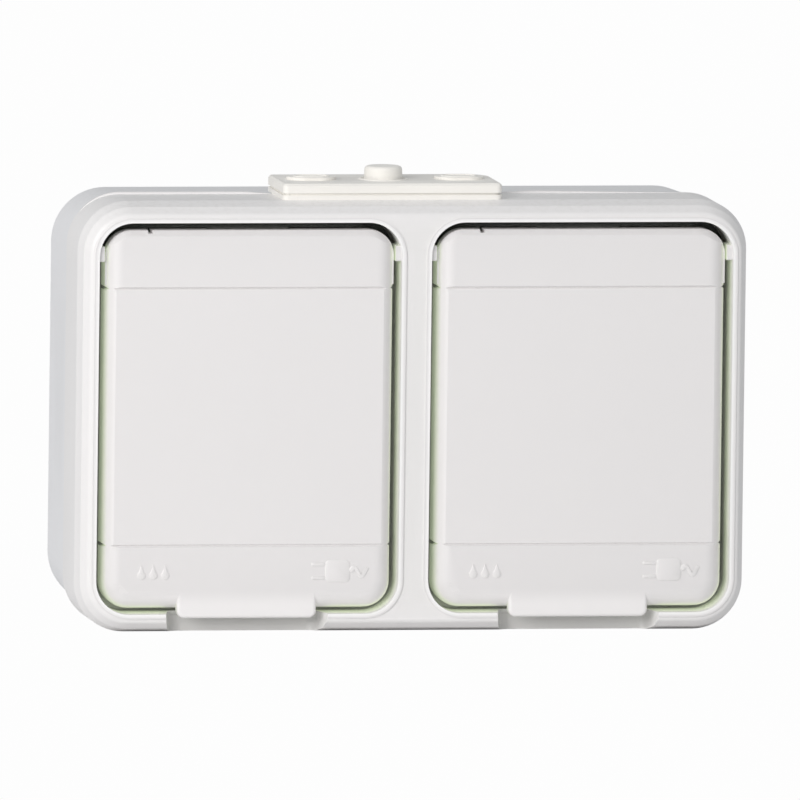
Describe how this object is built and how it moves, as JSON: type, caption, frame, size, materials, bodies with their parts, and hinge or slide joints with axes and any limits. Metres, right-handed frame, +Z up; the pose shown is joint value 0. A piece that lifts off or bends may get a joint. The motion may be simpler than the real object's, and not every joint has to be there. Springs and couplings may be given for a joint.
{
  "type": "surface-mounted double wall socket",
  "caption": "White splash-proof wall socket unit with sprung hinged lids in a rounded frame, plug recesses behind them and a soft cable entry on top.",
  "frame": {"origin": "centre of the back housing's rear face, on the wall plane", "axes": "+X to the right seen from the front, +Y into the wall, +Z up; the lids face -Y"},
  "size_m": [0.141, 0.0503, 0.0962],
  "materials": {
    "housing_white": "smooth moulded, satin gloss",
    "frame_white": "smooth moulded, satin gloss",
    "lid_white": "smooth moulded, satin gloss",
    "insert_white": "moulded, semi-gloss",
    "carrier_grey": "moulded thermoset, matt",
    "contact_brass": "stamped sheet",
    "zinc_steel": "zinc plated",
    "spring_steel": "drawn wire, bright",
    "seal_grey": "soft elastomer, matt",
    "entry_cream": "soft elastomer, satin"
  },
  "bodies": {
    "housing": {"base_housing": "housing_white", "front_frame": "frame_white", "housing_seal": "seal_grey", "cable_entry_seal": "entry_cream", "cover_screws": "zinc_steel", "line_link": "contact_brass", "neutral_link": "contact_brass", "earth_link": "contact_brass", "earth_terminal": "contact_brass", "earth_terminal_screw": "zinc_steel", "socket_cup_left": "insert_white", "contact_carrier_left": "carrier_grey", "line_contact_left": "contact_brass", "neutral_contact_left": "contact_brass", "earth_strap_left": "zinc_steel", "terminal_clamps_left": "contact_brass", "terminal_screws_left": "zinc_steel", "insert_screws_left": "zinc_steel", "centre_screw_left": "zinc_steel", "hinge_pin_left": "spring_steel", "lid_spring_left": "spring_steel", "socket_cup_right": "insert_white", "contact_carrier_right": "carrier_grey", "line_contact_right": "contact_brass", "neutral_contact_right": "contact_brass", "earth_strap_right": "zinc_steel", "terminal_clamps_right": "contact_brass", "terminal_screws_right": "zinc_steel", "insert_screws_right": "zinc_steel", "centre_screw_right": "zinc_steel", "hinge_pin_right": "spring_steel", "lid_spring_right": "spring_steel"},
    "lid_left": {"lid_left": "lid_white", "lid_seal_left": "seal_grey"},
    "lid_right": {"lid_right": "lid_white", "lid_seal_right": "seal_grey"}
  },
  "joints": [
    {"name": "lid_left_hinge", "type": "hinge", "parent": "housing", "child": "lid_left", "pos_m": [-0.03495, -0.045, 0.0343], "axis": [-1, 0, 0], "range_deg": [0, 92], "stiffness_Nm_per_rad": 0.008, "springref_deg": -57.3, "deforming": ["lid_spring_left"]},
    {"name": "lid_right_hinge", "type": "hinge", "parent": "housing", "child": "lid_right", "pos_m": [0.03495, -0.045, 0.0343], "axis": [-1, 0, 0], "range_deg": [0, 92], "stiffness_Nm_per_rad": 0.008, "springref_deg": -57.3, "deforming": ["lid_spring_right"]}
  ]
}
